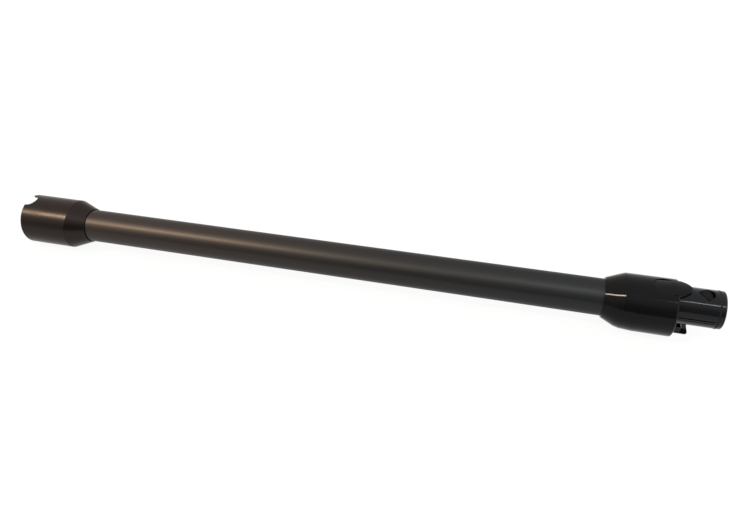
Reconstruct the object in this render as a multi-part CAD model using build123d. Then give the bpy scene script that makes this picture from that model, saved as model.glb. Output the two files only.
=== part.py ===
from build123d import *
import os
from math import hypot, radians, sqrt, tan

# Quick-release vacuum cleaner tube, in millimetres.
# +X runs along the tube from the socket cuff to the spigot, +Z is up through the release button.
# The origin is under the middle of the tube, on the surface that it lies on.
# Heights called rise or z in the functions are measured from the tube's own axis.

# Aluminium tube with a web that parts off the wire channel
TUBE_OD = 35.0
TUBE_WALL = 1.0
TUBE_SHOWN = 546.0
TUBE_HIDDEN = 25.0
WEB_THICKNESS = 1.0
WIRE_CHANNEL = 5.0

# Spigot and the duct behind it
SPIGOT_OD = 34.7
SPIGOT_WALL = 1.85
SPIGOT_RISE = 4.3
SPIGOT_REACH = 39.7
SPIGOT_TIP_ROUND = 1.2
DUCT_WALL = 1.6
DUCT_MARGIN = 0.2
PLATE = 3.0
TRANSITION = 4.5
COLLAR_WALL = 1.8
COLLAR_SETBACK = 9.5
GASKET = 1.0

# Outer shells of both ends
END_DROP = 1.05
SHELL_WALL = 2.0
FIT_GAP = 0.1
LIP_GAP = 0.15
CONE_ROOM = 6.1
REST_FLAT_WIDTH = 11.0
RIM_ROUND_SHARE = 0.2

# Socket cuff
LINER_RECESS = 11.0
SOCKET_DEPTH = 29.0
SOCKET_CLEARANCE = 0.3
SOCKET_LEAD_IN = 1.0
SOCKET_FLOOR = 2.0
FLANGE = 2.4
CUFF_LIP_STEP = 0.9
CUFF_CONE = 18.3
CUFF_CREASE_ROUND = 2.5
NOTCH_WIDTH = 16.2
NOTCH_DEPTH = 9.8
NOTCH_HORN_ROUND = 1.4
CATCH_SEAT_PLAY = 0.6
DOCK_GAP = 2.0

# Connector shell
LATCH_BAY = 33.3
SHELL_LIP_STEP = 1.5
SHELL_CONE_START = 12.0
SHELL_CONE_REST = 5.0
SHELL_BELLY_RUN = 11.5
SHELL_CONE_FALL = 2.4
SHELL_BELLY_FALL = 1.1
END_ROUND_SHARE = 0.9
FLANGE_RECESS = 1.2

# Release button
BUTTON_WIDTH = 20.0
BUTTON_BACK = 22.1
BUTTON_CREASE = 4.0
NOSE_REACH = 10.7
NOSE_SIDE = 1.0
NOSE_BULGE = 0.6
NOSE_TIP = 1.3
NOSE_TIP_WIDTH = 7.0
NOSE_WALL = 1.7
NOSE_GAP = 2.2
NOSE_FALL = 0.7
DISH_DEPTH = 0.9
DISH_BACK_STEP = 0.15
BUTTON_GAP = 0.4
BUTTON_ROUND = 0.35
POST_WIDTH = 6.0
POST_LENGTH = 10.0
POST_BITE = 0.35

# Latch under the button
ARM_WIDTH = 8.0
ARM_THICKNESS = 2.0
ARM_GAP = 0.4
ARM_DROP_ROOM = 3.2
ROOF_WALL = 1.2
CHANNEL_ROOM = 0.5
BRIDGE_START = 1.0
BOSS_HEIGHT = 2.2
BOSS_WALL = 1.0
PIVOT_SETBACK = 3.6
PIN_OD = 1.8
PIN_PLAY = 0.05
EYE_WALL = 1.0
LUG_WIDTH = 2.2
LUG_LENGTH = 5.2
LUG_GAP = 0.4
WINDOW_SETBACK = 16.6
WINDOW_LENGTH = 13.6
WINDOW_WIDTH = 15.2
WINDOW_BACK = 2.4
WINDOW_FRONT = 5.8
WINDOW_POINT_SHIFT = 1.3
WINDOW_GAP = 0.5
CATCH_SINK = 0.2
CATCH_RAMP_DROP = 1.9
CATCH_RAMP_SHARE = 0.75
CHANNEL_END_WALL = 1.5
SPRING_OD = 5.4
SPRING_WIRE = 0.5
SPRING_WIRE_SIDES = 8
SPRING_TURNS = 3.5
SPRING_PLACE = 11.8
SPRING_POCKET_GAP = 0.3

# Seal and grooves on the spigot
SEAL_SETBACK = 4.9
SEAL_WIDTH = 1.6
SEAL_DEPTH = 1.0
SEAL_SINK = 0.3
SEAL_PROUD = 0.2
SIDE_GROOVE_SETBACK = 6.8
SIDE_GROOVE_DEPTH = 0.9
SIDE_GROOVE_FALL = 0.2
SIDE_GROOVE_WIDTH = 1.6
SIDE_GROOVE_STEP = 2.6
THIN_GROOVE_WIDTH = 1.0

# Electrical plug, contacts and wires
CONTACT_SPREAD = 4.5
PLUG_WIDTH = 17.0
PLUG_HEIGHT = 6.4
PLUG_REACH = 10.8
PLUG_BACK = 11.0
PLUG_ROUND = 2.2
PLUG_PLATE_WIDTH = 18.0
PLUG_PLATE_REACH = 16.2
PLUG_PLATE = 1.1
PLUG_SHELL_GAP = 0.35
BLOCK_RIM = 0.4
BLOCK_LENGTH = 13.0
BLADE_WIDTH = 3.4
BLADE_THICKNESS = 0.8
BLADE_REACH = 6.0
CLIP_WIDTH = 4.8
CLIP_HEIGHT = 2.4
CLIP_GAP = 0.15
CLIP_FRONT_WALL = 1.2
BARREL_WALL = 0.5
BARREL_LENGTH = 4.0
WIRE_OD = 2.4
WIRE_SPREAD = 2.5
WIRE_GAP = 0.2
WIRE_LEAD = 2.5
WIRE_BEND_RUN = 8.0
WIRE_BEND_SHARE = 0.45
WIRE_SLANT_SHARE = 0.6

# Screws that hold the end pieces on the tube
SCREW_OD = 2.4
SCREW_HEAD_OD = 4.8
SCREW_HEAD = 1.5
SCREW_HEAD_SLOPE = 0.6
SCREW_POINT = 1.0
SCREW_SEAT = 0.5

# Radii and reaches that follow from the sizes above
tube_r = TUBE_OD / 2
tube_bore_r = tube_r - TUBE_WALL
spigot_r = SPIGOT_OD / 2
spigot_bore_r = spigot_r - SPIGOT_WALL
spigot_top = SPIGOT_RISE + spigot_r
collar_r = tube_r + FIT_GAP + COLLAR_WALL
end_r = END_DROP + max(spigot_top + NOSE_GAP + NOSE_WALL, collar_r + CONE_ROOM)
cavity_r = end_r - SHELL_WALL
end_top = end_r - END_DROP
end_bottom = -end_r - END_DROP
socket_r = spigot_r + SOCKET_CLEARANCE
liner_r = cavity_r - END_DROP - FIT_GAP - SPIGOT_RISE
cuff_lip_r = tube_r + CUFF_LIP_STEP
shell_lip_r = tube_r + SHELL_LIP_STEP
lip_hole_r = tube_r + LIP_GAP
cone_wide_r = end_r + 2 * END_DROP
screw_hole_r = SCREW_OD / 2 + FIT_GAP / 2
duct_top = tube_bore_r - DUCT_MARGIN
web_top = -tube_bore_r + WIRE_CHANNEL + WEB_THICKNESS
duct_bottom = web_top + DUCT_MARGIN
duct_r = (duct_top - duct_bottom) / 2
duct_rise = (duct_top + duct_bottom) / 2
AXIS_Z = END_DROP + sqrt(end_r ** 2 - (REST_FLAT_WIDTH / 2) ** 2)

# Places along the tube
cuff_length = LINER_RECESS + SOCKET_DEPTH + SOCKET_FLOOR + TRANSITION + PLATE + GASKET + TUBE_HIDDEN
shell_length = TUBE_HIDDEN + GASKET + PLATE + LATCH_BAY
overall = cuff_length + TUBE_SHOWN + shell_length + SPIGOT_REACH
x_mouth = -overall / 2
x_liner = x_mouth + LINER_RECESS
x_socket_floor = x_liner + SOCKET_DEPTH
x_throat = x_socket_floor + SOCKET_FLOOR
x_cuff_plate = x_throat + TRANSITION
x_cuff_gasket = x_cuff_plate + PLATE
x_tube_start = x_cuff_gasket + GASKET
x_cuff_back = x_mouth + cuff_length
x_cone_wide = x_cuff_back - CUFF_CONE * (cone_wide_r - cuff_lip_r) / (end_top - cuff_lip_r)
x_shell_back = x_cuff_back + TUBE_SHOWN
x_tube_end = x_shell_back + TUBE_HIDDEN
x_shell_plate = x_tube_end + GASKET
x_shell_duct = x_shell_plate + PLATE
x_spigot_start = x_shell_duct + TRANSITION
x_shell_end = x_shell_back + shell_length
x_tip = x_shell_end + SPIGOT_REACH
x_flange_front = x_shell_end - FLANGE_RECESS
x_flange_back = x_flange_front - FLANGE
x_cuff_collar = x_cuff_back - COLLAR_SETBACK
x_shell_collar = x_shell_back + COLLAR_SETBACK
x_cuff_screw = (x_tube_start + x_cuff_collar) / 2
x_shell_screw = (x_tube_end + x_shell_collar) / 2

# Latch places
arm_top = SPIGOT_RISE + spigot_bore_r - ARM_GAP
arm_low = arm_top - ARM_THICKNESS
channel_floor = arm_low - ARM_DROP_ROOM
duct_ceiling = channel_floor - ROOF_WALL
boss_top = arm_top + BOSS_HEIGHT
catch_top = spigot_top - CATCH_SINK
x_pivot = x_shell_duct + PIVOT_SETBACK
pivot_z = arm_low + ARM_THICKNESS / 2
pin_r = PIN_OD / 2
eye_r = pin_r + PIN_PLAY + EYE_WALL
lug_inner = ARM_WIDTH / 2 + LUG_GAP
lug_outer = lug_inner + LUG_WIDTH
x_window = x_tip - WINDOW_SETBACK
channel_width = WINDOW_WIDTH + 2 * CHANNEL_ROOM
x_bridge = x_shell_end + BRIDGE_START
x_channel_end = x_window + WINDOW_LENGTH / 2 + CHANNEL_END_WALL
x_roof_end = x_channel_end + CHANNEL_END_WALL
x_spring = x_shell_end - SPRING_PLACE
spring_pocket_r = SPRING_OD / 2 + SPRING_POCKET_GAP
spring_top = boss_top - BOSS_WALL
boss_width = 2 * (spring_pocket_r + BOSS_WALL)

# Contact and wire places
plate_low = -END_DROP - sqrt((cavity_r - PLUG_SHELL_GAP) ** 2 - (PLUG_PLATE_WIDTH / 2) ** 2)
plug_low = plate_low + PLUG_PLATE
plug_high = plug_low + PLUG_HEIGHT
contact_z = (plug_low + plug_high) / 2
wire_r = WIRE_OD / 2
wire_z = -sqrt((tube_bore_r - wire_r - WIRE_GAP) ** 2 - WIRE_SPREAD ** 2)
slot_half = WIRE_SPREAD + wire_r + 2 * WIRE_GAP
slot_low = wire_z - wire_r - WIRE_GAP
slot_high = web_top - WEB_THICKNESS
barrel_bore_r = wire_r + CLIP_GAP
barrel_r = barrel_bore_r + BARREL_WALL
x_block_back = x_liner + BLOCK_LENGTH
x_plug_back = x_flange_back - PLUG_BACK
x_plug_front = x_shell_end + PLUG_REACH
x_plate_front = x_shell_end + PLUG_PLATE_REACH
x_clip_front = x_plug_front - CLIP_FRONT_WALL


def disc(x, radius, rise):
    """Round section across the tube at place x."""
    place = Plane(origin=(x, 0, AXIS_Z + rise), x_dir=(0, 1, 0), z_dir=(1, 0, 0))
    return place * Circle(radius)


def rod(x_start, x_end, radius, rise):
    """Round bar along the tube."""
    return extrude(disc(x_start, radius, rise), amount=x_end - x_start)


def taper(sections):
    """Skin through round sections, each a place along the tube with its top and bottom reach."""
    rounds = [disc(x, (top - bottom) / 2, (top + bottom) / 2) for x, top, bottom in sections]
    return loft(rounds, ruled=True)


def block(x_start, x_end, y_start, y_end, z_low, z_high):
    """Square block between two places along each direction."""
    middle = Pos((x_start + x_end) / 2, (y_start + y_end) / 2, AXIS_Z + (z_low + z_high) / 2)
    return middle * Box(x_end - x_start, y_end - y_start, z_high - z_low)


def centred_block(x_start, x_end, width, z_low, z_high):
    """Block astride the middle plane of the tube."""
    return block(x_start, x_end, -width / 2, width / 2, z_low, z_high)


def cross_bar(x, z, radius, y_start, y_end):
    """Round bar across the tube, along Y."""
    place = Plane(origin=(x, y_start, AXIS_Z + z), x_dir=(1, 0, 0), z_dir=(0, 1, 0))
    return extrude(place * Circle(radius), amount=y_end - y_start)


def above(sketch, z_low, z_high):
    """Upright prism of an outline seen from above."""
    return extrude(Pos(0, 0, AXIS_Z + z_low) * sketch, amount=z_high - z_low)


def below_rest_plane():
    """Everything under the surface that the tube lies on."""
    return Pos(0, 0, -end_r) * Box(2 * overall, 4 * end_r, 2 * end_r)


def wire_slot(x_start, x_end):
    """Passage for both wires through an end plate or a gasket."""
    return centred_block(x_start, x_end, 2 * slot_half, slot_low, slot_high)


def screw_holes(x):
    """Clearance for the pair of screws, one each side, with a flat seat under each head."""
    cut = cross_bar(x, 0, screw_hole_r, -end_r, end_r)
    for side in (-1, 1):
        seat = side * (collar_r - SCREW_SEAT)
        low, high = sorted((seat, side * end_r))
        cut += cross_bar(x, 0, SCREW_HEAD_OD / 2 + FIT_GAP, low, high)
    return cut


def main_tube():
    """Extruded tube with a flat web that keeps the wires out of the air."""
    web = Pos(0, web_top - WEB_THICKNESS / 2) * Rectangle(TUBE_OD, WEB_THICKNESS)
    section = Circle(tube_r) - (Circle(tube_bore_r) - web)
    place = Plane(origin=(x_tube_start, 0, AXIS_Z), x_dir=(0, 1, 0), z_dir=(1, 0, 0))
    tube = extrude(place * section, amount=x_tube_end - x_tube_start)
    for x in (x_cuff_screw, x_shell_screw):
        tube -= cross_bar(x, 0, screw_hole_r, -end_r, end_r)
    return tube


def notch_outline():
    """Scallop in the cuff's rim, with a rounded horn at each side."""
    half = NOTCH_WIDTH / 2
    horn = NOTCH_HORN_ROUND
    rim_half = half + horn
    outside = x_mouth - horn
    turn = horn * (1 - sqrt(0.5))
    edge = [
        Line((outside, -rim_half), (x_mouth, -rim_half)),
        ThreePointArc((x_mouth, -rim_half), (x_mouth + turn, -half - turn), (x_mouth + horn, -half)),
        ThreePointArc((x_mouth + horn, -half), (x_mouth + NOTCH_DEPTH, 0), (x_mouth + horn, half)),
        ThreePointArc((x_mouth + horn, half), (x_mouth + turn, half + turn), (x_mouth, rim_half)),
        Line((x_mouth, rim_half), (outside, rim_half)),
        Line((outside, rim_half), (outside, -rim_half)),
    ]
    return make_face(edge)


def cuff_form(sleeve_r, wide_r, back_r):
    """Off-centre sleeve of the cuff, trimmed by a cone round the tube's own axis."""
    cone = taper(((x_cone_wide, wide_r, -wide_r), (x_cuff_back, back_r, -back_r)))
    return rod(x_mouth, x_cuff_back, sleeve_r, -END_DROP) & (rod(x_mouth, x_cone_wide, wide_r, 0) + cone)


def cuff_shell():
    """Outer sleeve of the socket end, with a scalloped rim and a cone down to the tube."""
    outer = cuff_form(end_r, cone_wide_r, cuff_lip_r)
    crease = outer.edges().filter_by(GeomType.CIRCLE, reverse=True).filter_by(GeomType.LINE, reverse=True)
    outer = fillet(crease, CUFF_CREASE_ROUND)
    shell = outer - cuff_form(cavity_r, cone_wide_r - SHELL_WALL, lip_hole_r) - below_rest_plane()
    shell = fillet(shell.edges().group_by(Axis.X)[0], RIM_ROUND_SHARE * SHELL_WALL)
    return shell - above(notch_outline(), 0, end_r)


def socket_liner():
    """Inner moulding of the cuff: socket, duct down to the tube and a collar over the tube's end."""
    body = rod(x_liner, x_throat, liner_r, SPIGOT_RISE)
    body += rod(x_liner, x_liner + FLANGE, cavity_r - FIT_GAP, -END_DROP)
    wide = disc(x_throat, spigot_bore_r + DUCT_WALL, SPIGOT_RISE)
    body += loft([wide, disc(x_cuff_plate, duct_r + DUCT_WALL, duct_rise)])
    body += rod(x_cuff_plate, x_cuff_collar, collar_r, 0)
    duct = rod(x_socket_floor, x_throat, spigot_bore_r, SPIGOT_RISE)
    duct += loft([disc(x_throat, spigot_bore_r, SPIGOT_RISE), disc(x_cuff_plate, duct_r, duct_rise)])
    duct += rod(x_cuff_plate, x_cuff_gasket, duct_r, duct_rise)
    body -= duct
    body -= rod(x_liner, x_socket_floor, socket_r, SPIGOT_RISE)
    lead_r = socket_r + SOCKET_LEAD_IN
    body -= loft([disc(x_liner, lead_r, SPIGOT_RISE), disc(x_liner + SOCKET_LEAD_IN, socket_r, SPIGOT_RISE)])
    body -= plate_slot()
    body -= rod(x_cuff_gasket, x_cuff_collar, tube_r + FIT_GAP, 0)
    body -= catch_seat()
    body -= wire_slot(x_cuff_plate, x_cuff_gasket)
    body -= contact_block_body(FIT_GAP)
    body -= screw_holes(x_cuff_screw)
    return body - Pos(0, 0, SHELL_WALL) * below_rest_plane()


def catch_seat():
    """Window in the top of the socket that the catch of the next tube snaps into."""
    x_catch = x_mouth - DOCK_GAP + x_window - x_shell_end
    half = WINDOW_LENGTH / 2 + CATCH_SEAT_PLAY
    width = WINDOW_WIDTH + 2 * CATCH_SEAT_PLAY
    return centred_block(x_catch - half, x_catch + half, width, SPIGOT_RISE, end_top)


def plate_slot():
    """Room in the cuff for the bottom plate of the next piece's plug."""
    x_plate = x_mouth - DOCK_GAP + PLUG_PLATE_REACH + CATCH_SEAT_PLAY
    x_end = max(x_liner + FLANGE, x_plate)
    width = PLUG_PLATE_WIDTH + 2 * SOCKET_CLEARANCE
    return centred_block(x_liner, x_end, width, end_bottom, plug_low + SOCKET_CLEARANCE)


def gasket(x):
    """Flat ring between the tube's end and its plate, open to the duct and to the wires."""
    ring = rod(x, x + GASKET, tube_r, 0)
    ring -= rod(x, x + GASKET, duct_r, duct_rise)
    return ring - wire_slot(x, x + GASKET)


def contact_block_body(grow):
    """Outside of the block that holds the cuff's contacts, grown all round by a gap."""
    half_height = PLUG_HEIGHT / 2 + BLOCK_RIM + grow
    return centred_block(x_liner, x_block_back, PLUG_PLATE_WIDTH + 2 * grow,
                         contact_z - half_height, contact_z + half_height)


def socket_contact_block():
    """Block in the cuff's flange with a way through for each contact."""
    body = contact_block_body(0) - plate_slot()
    for side in (-1, 1):
        y = side * CONTACT_SPREAD
        half_width = BLADE_WIDTH / 2 + FIT_GAP
        half_height = BLADE_THICKNESS / 2 + FIT_GAP
        body -= block(x_liner, x_block_back, y - half_width, y + half_width,
                      contact_z - half_height, contact_z + half_height)
    return body


def barrel(x_start, x_end, y, open_to):
    """Crimped tail of a contact, with a blind hole for the wire's end."""
    place = Pos(0, y, 0)
    tail = place * rod(x_start, x_end, barrel_r, contact_z)
    if open_to > 0:
        return tail - place * rod(x_start + BARREL_WALL, x_end, barrel_bore_r, contact_z)
    return tail - place * rod(x_start, x_end - BARREL_WALL, barrel_bore_r, contact_z)


def socket_contacts():
    """Pair of brass blades that stand inside the cuff's mouth."""
    pieces = []
    for side in (-1, 1):
        y = side * CONTACT_SPREAD
        blade = block(x_liner - BLADE_REACH, x_block_back, y - BLADE_WIDTH / 2, y + BLADE_WIDTH / 2,
                      contact_z - BLADE_THICKNESS / 2, contact_z + BLADE_THICKNESS / 2)
        pieces.append(blade + barrel(x_block_back, x_block_back + BARREL_LENGTH, y, 1))
    return Compound(children=pieces)


def shell_sections(inset, lip):
    """Sections of the connector shell's cone, whose underside swells more slowly than its top."""
    x_middle = x_shell_back + SHELL_CONE_START
    x_crease = x_middle + SHELL_CONE_REST
    middle_share = SHELL_CONE_START / (SHELL_CONE_START + SHELL_CONE_REST)
    middle_top = shell_lip_r + (end_top - shell_lip_r) * middle_share
    return (
        (x_shell_back, lip, -lip),
        (x_middle, middle_top - inset, end_bottom + SHELL_CONE_FALL + inset),
        (x_crease, end_top - inset, end_bottom + SHELL_BELLY_FALL + inset),
        (x_crease + SHELL_BELLY_RUN, end_top - inset, end_bottom + inset),
    )


def button_outline():
    """Button seen from above: round at its back, straight along its sides and drawn in to a blunt nose."""
    half = BUTTON_WIDTH / 2
    x_back = x_shell_end - BUTTON_BACK
    x_side = x_shell_end + NOSE_SIDE
    x_front = x_shell_end + NOSE_REACH
    cheek = (x_front - NOSE_TIP, NOSE_TIP_WIDTH / 2)
    middle = ((x_side + cheek[0]) / 2 + NOSE_BULGE / 2, (half + cheek[1]) / 2 + NOSE_BULGE)
    edge = [
        ThreePointArc((x_back + half, half), (x_back, 0), (x_back + half, -half)),
        Line((x_back + half, -half), (x_side, -half)),
        ThreePointArc((x_side, -half), (middle[0], -middle[1]), (cheek[0], -cheek[1])),
        ThreePointArc((cheek[0], -cheek[1]), (x_front, 0), cheek),
        ThreePointArc(cheek, middle, (x_side, half)),
        Line((x_side, half), (x_back + half, half)),
    ]
    return make_face(edge)


def connector_shell():
    """Outer sleeve of the spigot end, open at its front and cut out on top for the button."""
    x_belly = x_shell_back + SHELL_CONE_START + SHELL_CONE_REST + SHELL_BELLY_RUN
    outer = taper(shell_sections(0, shell_lip_r)) + rod(x_belly, x_shell_end, end_r, -END_DROP)
    inner = taper(shell_sections(SHELL_WALL, lip_hole_r)) + rod(x_belly, x_shell_end, cavity_r, -END_DROP)
    outer = fillet(outer.edges().group_by(Axis.X)[-1], END_ROUND_SHARE * SHELL_WALL)
    shell = outer - inner - below_rest_plane()
    return shell - above(offset(button_outline(), BUTTON_GAP), 0, end_r)


def window_outline(grow):
    """Six-sided window in the spigot's top, pointed at each side."""
    half = WINDOW_LENGTH / 2 + grow
    back = WINDOW_BACK / 2 + grow / 2
    front = WINDOW_FRONT / 2 + grow / 2
    point = WINDOW_WIDTH / 2 + grow
    corners = [
        (x_window - half, -back),
        (x_window + WINDOW_POINT_SHIFT, -point),
        (x_window + half, -front),
        (x_window + half, front),
        (x_window + WINDOW_POINT_SHIFT, point),
        (x_window - half, back),
    ]
    return make_face(Polyline(*corners, close=True))


def duct_space():
    """Air passage of the spigot end, with a flat ceiling under the latch."""
    space = rod(x_shell_plate, x_shell_duct, duct_r, duct_rise)
    space += loft([disc(x_shell_duct, duct_r, duct_rise), disc(x_spigot_start, spigot_bore_r, SPIGOT_RISE)])
    space += rod(x_spigot_start, x_roof_end, spigot_bore_r, SPIGOT_RISE)
    space -= centred_block(x_shell_plate, x_roof_end, TUBE_OD, duct_ceiling, end_top)
    return space + rod(x_roof_end, x_tip, spigot_bore_r, SPIGOT_RISE)


def latch_space():
    """Trough for the latch inside the shell and its covered channel inside the spigot."""
    trough = centred_block(x_shell_duct, x_bridge, channel_width, channel_floor, end_top)
    channel = centred_block(x_bridge, x_channel_end, channel_width, channel_floor, end_top)
    return trough + (channel & rod(x_bridge, x_channel_end, spigot_bore_r, SPIGOT_RISE))


def side_grooves():
    """Long shallow grooves along both sides of the spigot, a wide one over a thin one."""
    cuts = []
    wide_z = SPIGOT_RISE - SIDE_GROOVE_FALL
    grooves = ((wide_z, SIDE_GROOVE_WIDTH), (wide_z - SIDE_GROOVE_STEP, THIN_GROOVE_WIDTH))
    for z, width in grooves:
        for side in (-1, 1):
            low, high = sorted((side * (spigot_r - SIDE_GROOVE_DEPTH), side * end_r))
            cuts.append(block(x_flange_front, x_tip - SIDE_GROOVE_SETBACK, low, high,
                              z - width / 2, z + width / 2))
    return cuts


def spigot_duct():
    """Spigot with its duct, front flange, latch channel and the collar over the tube's end."""
    flange = rod(x_flange_back, x_flange_front, cavity_r - FIT_GAP, -END_DROP)
    flange -= centred_block(x_flange_back, x_flange_front, BUTTON_WIDTH + 2 * SHELL_WALL, 0, end_r)
    flange -= Pos(0, 0, SHELL_WALL) * below_rest_plane()
    body = rod(x_spigot_start, x_tip, spigot_r, SPIGOT_RISE)
    body = fillet(body.edges().group_by(Axis.X)[-1], SPIGOT_TIP_ROUND)
    narrow = disc(x_shell_duct, duct_r + DUCT_WALL, duct_rise)
    body += loft([narrow, disc(x_spigot_start, spigot_r, SPIGOT_RISE)])
    body += rod(x_shell_collar, x_shell_duct, collar_r, 0)
    body += flange
    body -= duct_space()
    body -= latch_space()
    body -= above(window_outline(0), channel_floor, end_top)
    body -= rod(x_shell_collar, x_shell_plate, tube_r + FIT_GAP, 0)
    body -= wire_slot(x_shell_plate, x_shell_duct)
    body -= seal_groove()
    for cut in side_grooves():
        body -= cut
    body -= plug_outside(FIT_GAP)
    body -= centred_block(x_flange_back, x_flange_front, PLUG_PLATE_WIDTH + 2 * FIT_GAP, -end_r, plug_low)
    body -= screw_holes(x_shell_screw)
    for side in (-1, 1):
        low, high = sorted((side * lug_inner, side * lug_outer))
        body += block(x_pivot - LUG_LENGTH / 2, x_pivot + LUG_LENGTH / 2, low, high,
                      channel_floor, pivot_z + eye_r)
    return body - cross_bar(x_pivot, pivot_z, pin_r, -lug_outer, lug_outer)


def seal_groove():
    """Groove round the spigot near its tip."""
    x_start = x_tip - SEAL_SETBACK - SEAL_WIDTH / 2
    ring = rod(x_start, x_start + SEAL_WIDTH, end_r, SPIGOT_RISE)
    return ring - rod(x_start, x_start + SEAL_WIDTH, spigot_r - SEAL_DEPTH, SPIGOT_RISE)


def spigot_seal():
    """Rubber ring in the groove near the spigot's tip, with a crown that stands a little proud."""
    half = SEAL_WIDTH / 2
    x_middle = x_tip - SEAL_SETBACK
    z_middle = AXIS_Z + SPIGOT_RISE
    floor = z_middle + spigot_r - SEAL_DEPTH
    shoulder = z_middle + spigot_r - SEAL_SINK
    crown = z_middle + spigot_r + SEAL_PROUD
    back = (x_middle - half, 0, shoulder)
    front = (x_middle + half, 0, shoulder)
    edge = [
        Line((x_middle - half, 0, floor), back),
        ThreePointArc(back, (x_middle, 0, crown), front),
        Line(front, (x_middle + half, 0, floor)),
        Line((x_middle + half, 0, floor), (x_middle - half, 0, floor)),
    ]
    return revolve(make_face(edge), Axis((0, 0, z_middle), (1, 0, 0)))


def button_profile():
    """Section of the button along the tube: a dished finger pad, a crease and a falling nose."""
    x_back = x_shell_end - BUTTON_BACK
    x_crease = x_shell_end - BUTTON_CREASE
    x_front = x_shell_end + NOSE_REACH
    z_top = AXIS_Z + end_top
    z_under = z_top - NOSE_WALL
    back = (x_back, 0, z_top - DISH_BACK_STEP)
    dish = ((x_back + x_crease) / 2, 0, z_top - DISH_DEPTH)
    crease = (x_crease, 0, z_top)
    nose = ((x_crease + x_front) / 2, 0, z_top - NOSE_FALL / 4)
    front = (x_front, 0, z_top - NOSE_FALL)
    edge = [
        ThreePointArc(back, dish, crease),
        ThreePointArc(crease, nose, front),
        Line(front, (x_front, 0, z_under)),
        Line((x_front, 0, z_under), (x_back, 0, z_under)),
        Line((x_back, 0, z_under), back),
    ]
    return make_face(edge)


def is_button_rim(edge):
    """Whether an edge runs round the button's top, rather than across it or down its side."""
    spots = [edge @ share for share in (0, 0.5, 1)]
    reach = min(hypot(spot.Y, spot.Z - AXIS_Z + END_DROP) for spot in spots)
    run = max(spot.X for spot in spots) - min(spot.X for spot in spots)
    return reach > end_r - NOSE_WALL + BUTTON_ROUND / 2 and run > BUTTON_ROUND


def release_button():
    """Oval button cap with a tongue over the spigot and a post down to the latch."""
    ring = revolve(button_profile(), Axis((0, 0, AXIS_Z - END_DROP), (1, 0, 0)))
    cap = ring & above(button_outline(), 0, 2 * end_r)
    cap = fillet(cap.edges().filter_by(is_button_rim), BUTTON_ROUND)
    half = POST_LENGTH / 2
    post = centred_block(x_spring - half, x_spring + half, POST_WIDTH, boss_top,
                         end_top - NOSE_WALL + POST_BITE)
    return cap + post


def latch_lever():
    """Lever under the button: an eye on the pin, an arm into the spigot and the catch at its end."""
    x_arm_end = x_window + WINDOW_LENGTH / 2 - WINDOW_GAP
    arm = centred_block(x_pivot, x_arm_end, ARM_WIDTH, arm_low, arm_top)
    arm &= rod(x_pivot, x_arm_end, spigot_bore_r - ARM_GAP, SPIGOT_RISE)
    arm += cross_bar(x_pivot, pivot_z, eye_r, -ARM_WIDTH / 2, ARM_WIDTH / 2)
    half = POST_LENGTH / 2
    arm += centred_block(x_spring - half, x_spring + half, boss_width, arm_low, boss_top)
    arm += above(window_outline(-WINDOW_GAP), arm_low, catch_top) - catch_ramp()
    arm -= cross_bar(x_pivot, pivot_z, pin_r + PIN_PLAY, -ARM_WIDTH, ARM_WIDTH)
    pocket = Pos(x_spring, 0, AXIS_Z + (arm_low + spring_top) / 2)
    return arm - pocket * Cylinder(spring_pocket_r, spring_top - arm_low)


def catch_ramp():
    """Wedge cut off the catch's front, so that a socket's edge can push it down."""
    z_high = AXIS_Z + catch_top
    z_over = z_high + CATCH_RAMP_DROP
    x_end = x_window + WINDOW_LENGTH / 2
    x_start = x_end - CATCH_RAMP_SHARE * WINDOW_LENGTH
    corners = [
        (x_start, 0, z_high),
        (x_end, 0, z_high - CATCH_RAMP_DROP),
        (x_end, 0, z_over),
        (x_start, 0, z_over),
    ]
    wedge = make_face(Polyline(*corners, close=True))
    return extrude(wedge, amount=WINDOW_WIDTH, both=True)


def latch_pin():
    """Steel pin that the latch turns on."""
    return cross_bar(x_pivot, pivot_z, pin_r, -lug_outer, lug_outer)


def latch_spring():
    """Coil spring that pushes the latch and the button up, its wire drawn with flat sides."""
    height = spring_top - channel_floor - SPRING_WIRE
    radius = (SPRING_OD - SPRING_WIRE) / 2
    start = Pos(x_spring, 0, AXIS_Z + channel_floor + SPRING_WIRE / 2)
    path = start * Helix(height / SPRING_TURNS, height, radius)
    wire_section = RegularPolygon(SPRING_WIRE / 2, SPRING_WIRE_SIDES)
    place = Plane(origin=path @ 0, z_dir=path % 0)
    return sweep(place * wire_section, path, is_frenet=True)


def plug_outside(grow):
    """Outside of the plug: a block over a thin plate that reaches further, grown by a gap."""
    body = centred_block(x_plug_back, x_plug_front + grow, PLUG_WIDTH + 2 * grow, plug_low, plug_high + grow)
    plate = centred_block(x_plug_back, x_plate_front + grow, PLUG_PLATE_WIDTH + 2 * grow,
                          plate_low - grow, plug_low + grow)
    return body + plate


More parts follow.
